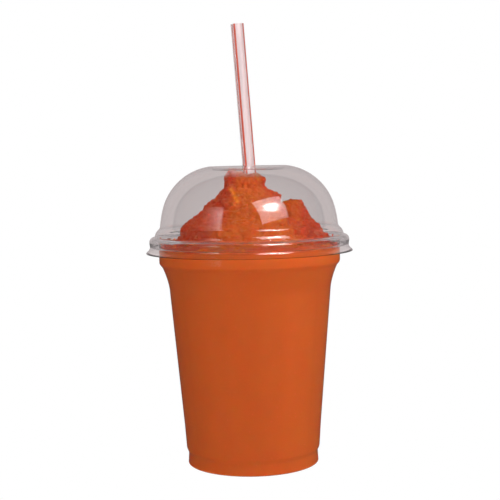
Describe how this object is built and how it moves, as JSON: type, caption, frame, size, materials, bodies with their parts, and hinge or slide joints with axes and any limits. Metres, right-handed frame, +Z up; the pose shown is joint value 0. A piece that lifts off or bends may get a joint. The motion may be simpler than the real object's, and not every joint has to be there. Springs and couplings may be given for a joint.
{
  "type": "frozen slush drink in a cup",
  "caption": "Frozen slush drink in a clear tapered cup, with a clear dome lid that lifts off and a striped straw that pulls out through the lid's open top.",
  "frame": {"origin": "middle of the cup's foot ring, on the table", "axes": "+Z up along the cup's axis; the straw leans in the XZ plane towards -X; -Y is the front"},
  "size_m": [0.1, 0.1, 0.212],
  "materials": {
    "clear_cup_plastic": "clear, polished",
    "clear_lid_plastic": "clear, polished, faintly smoky",
    "straw_clear_plastic": "clear to milky, glossy",
    "straw_white_plastic": "milky white, glossy",
    "straw_red_plastic": "red, glossy",
    "orange_slush": "wet granular ice, orange"
  },
  "bodies": {
    "cup_body": {"cup": "clear_cup_plastic", "slush_fill": "orange_slush", "slush_peak": "orange_slush", "slush_side_lump": "orange_slush"},
    "lid_body": {"dome_lid": "clear_lid_plastic"},
    "straw_body": {"straw_clear_bands": "straw_clear_plastic", "straw_white_bands": "straw_white_plastic", "straw_red_stripes": "straw_red_plastic"}
  },
  "joints": [
    {"name": "lid_lift", "type": "slide", "parent": "cup_body", "child": "lid_body", "axis": [0, 0, 1], "range_m": [0, 0.12]},
    {"name": "straw_pull", "type": "slide", "parent": "cup_body", "child": "straw_body", "axis": [-0.0645, 0, 0.9979], "range_m": [0, 0.205]}
  ]
}
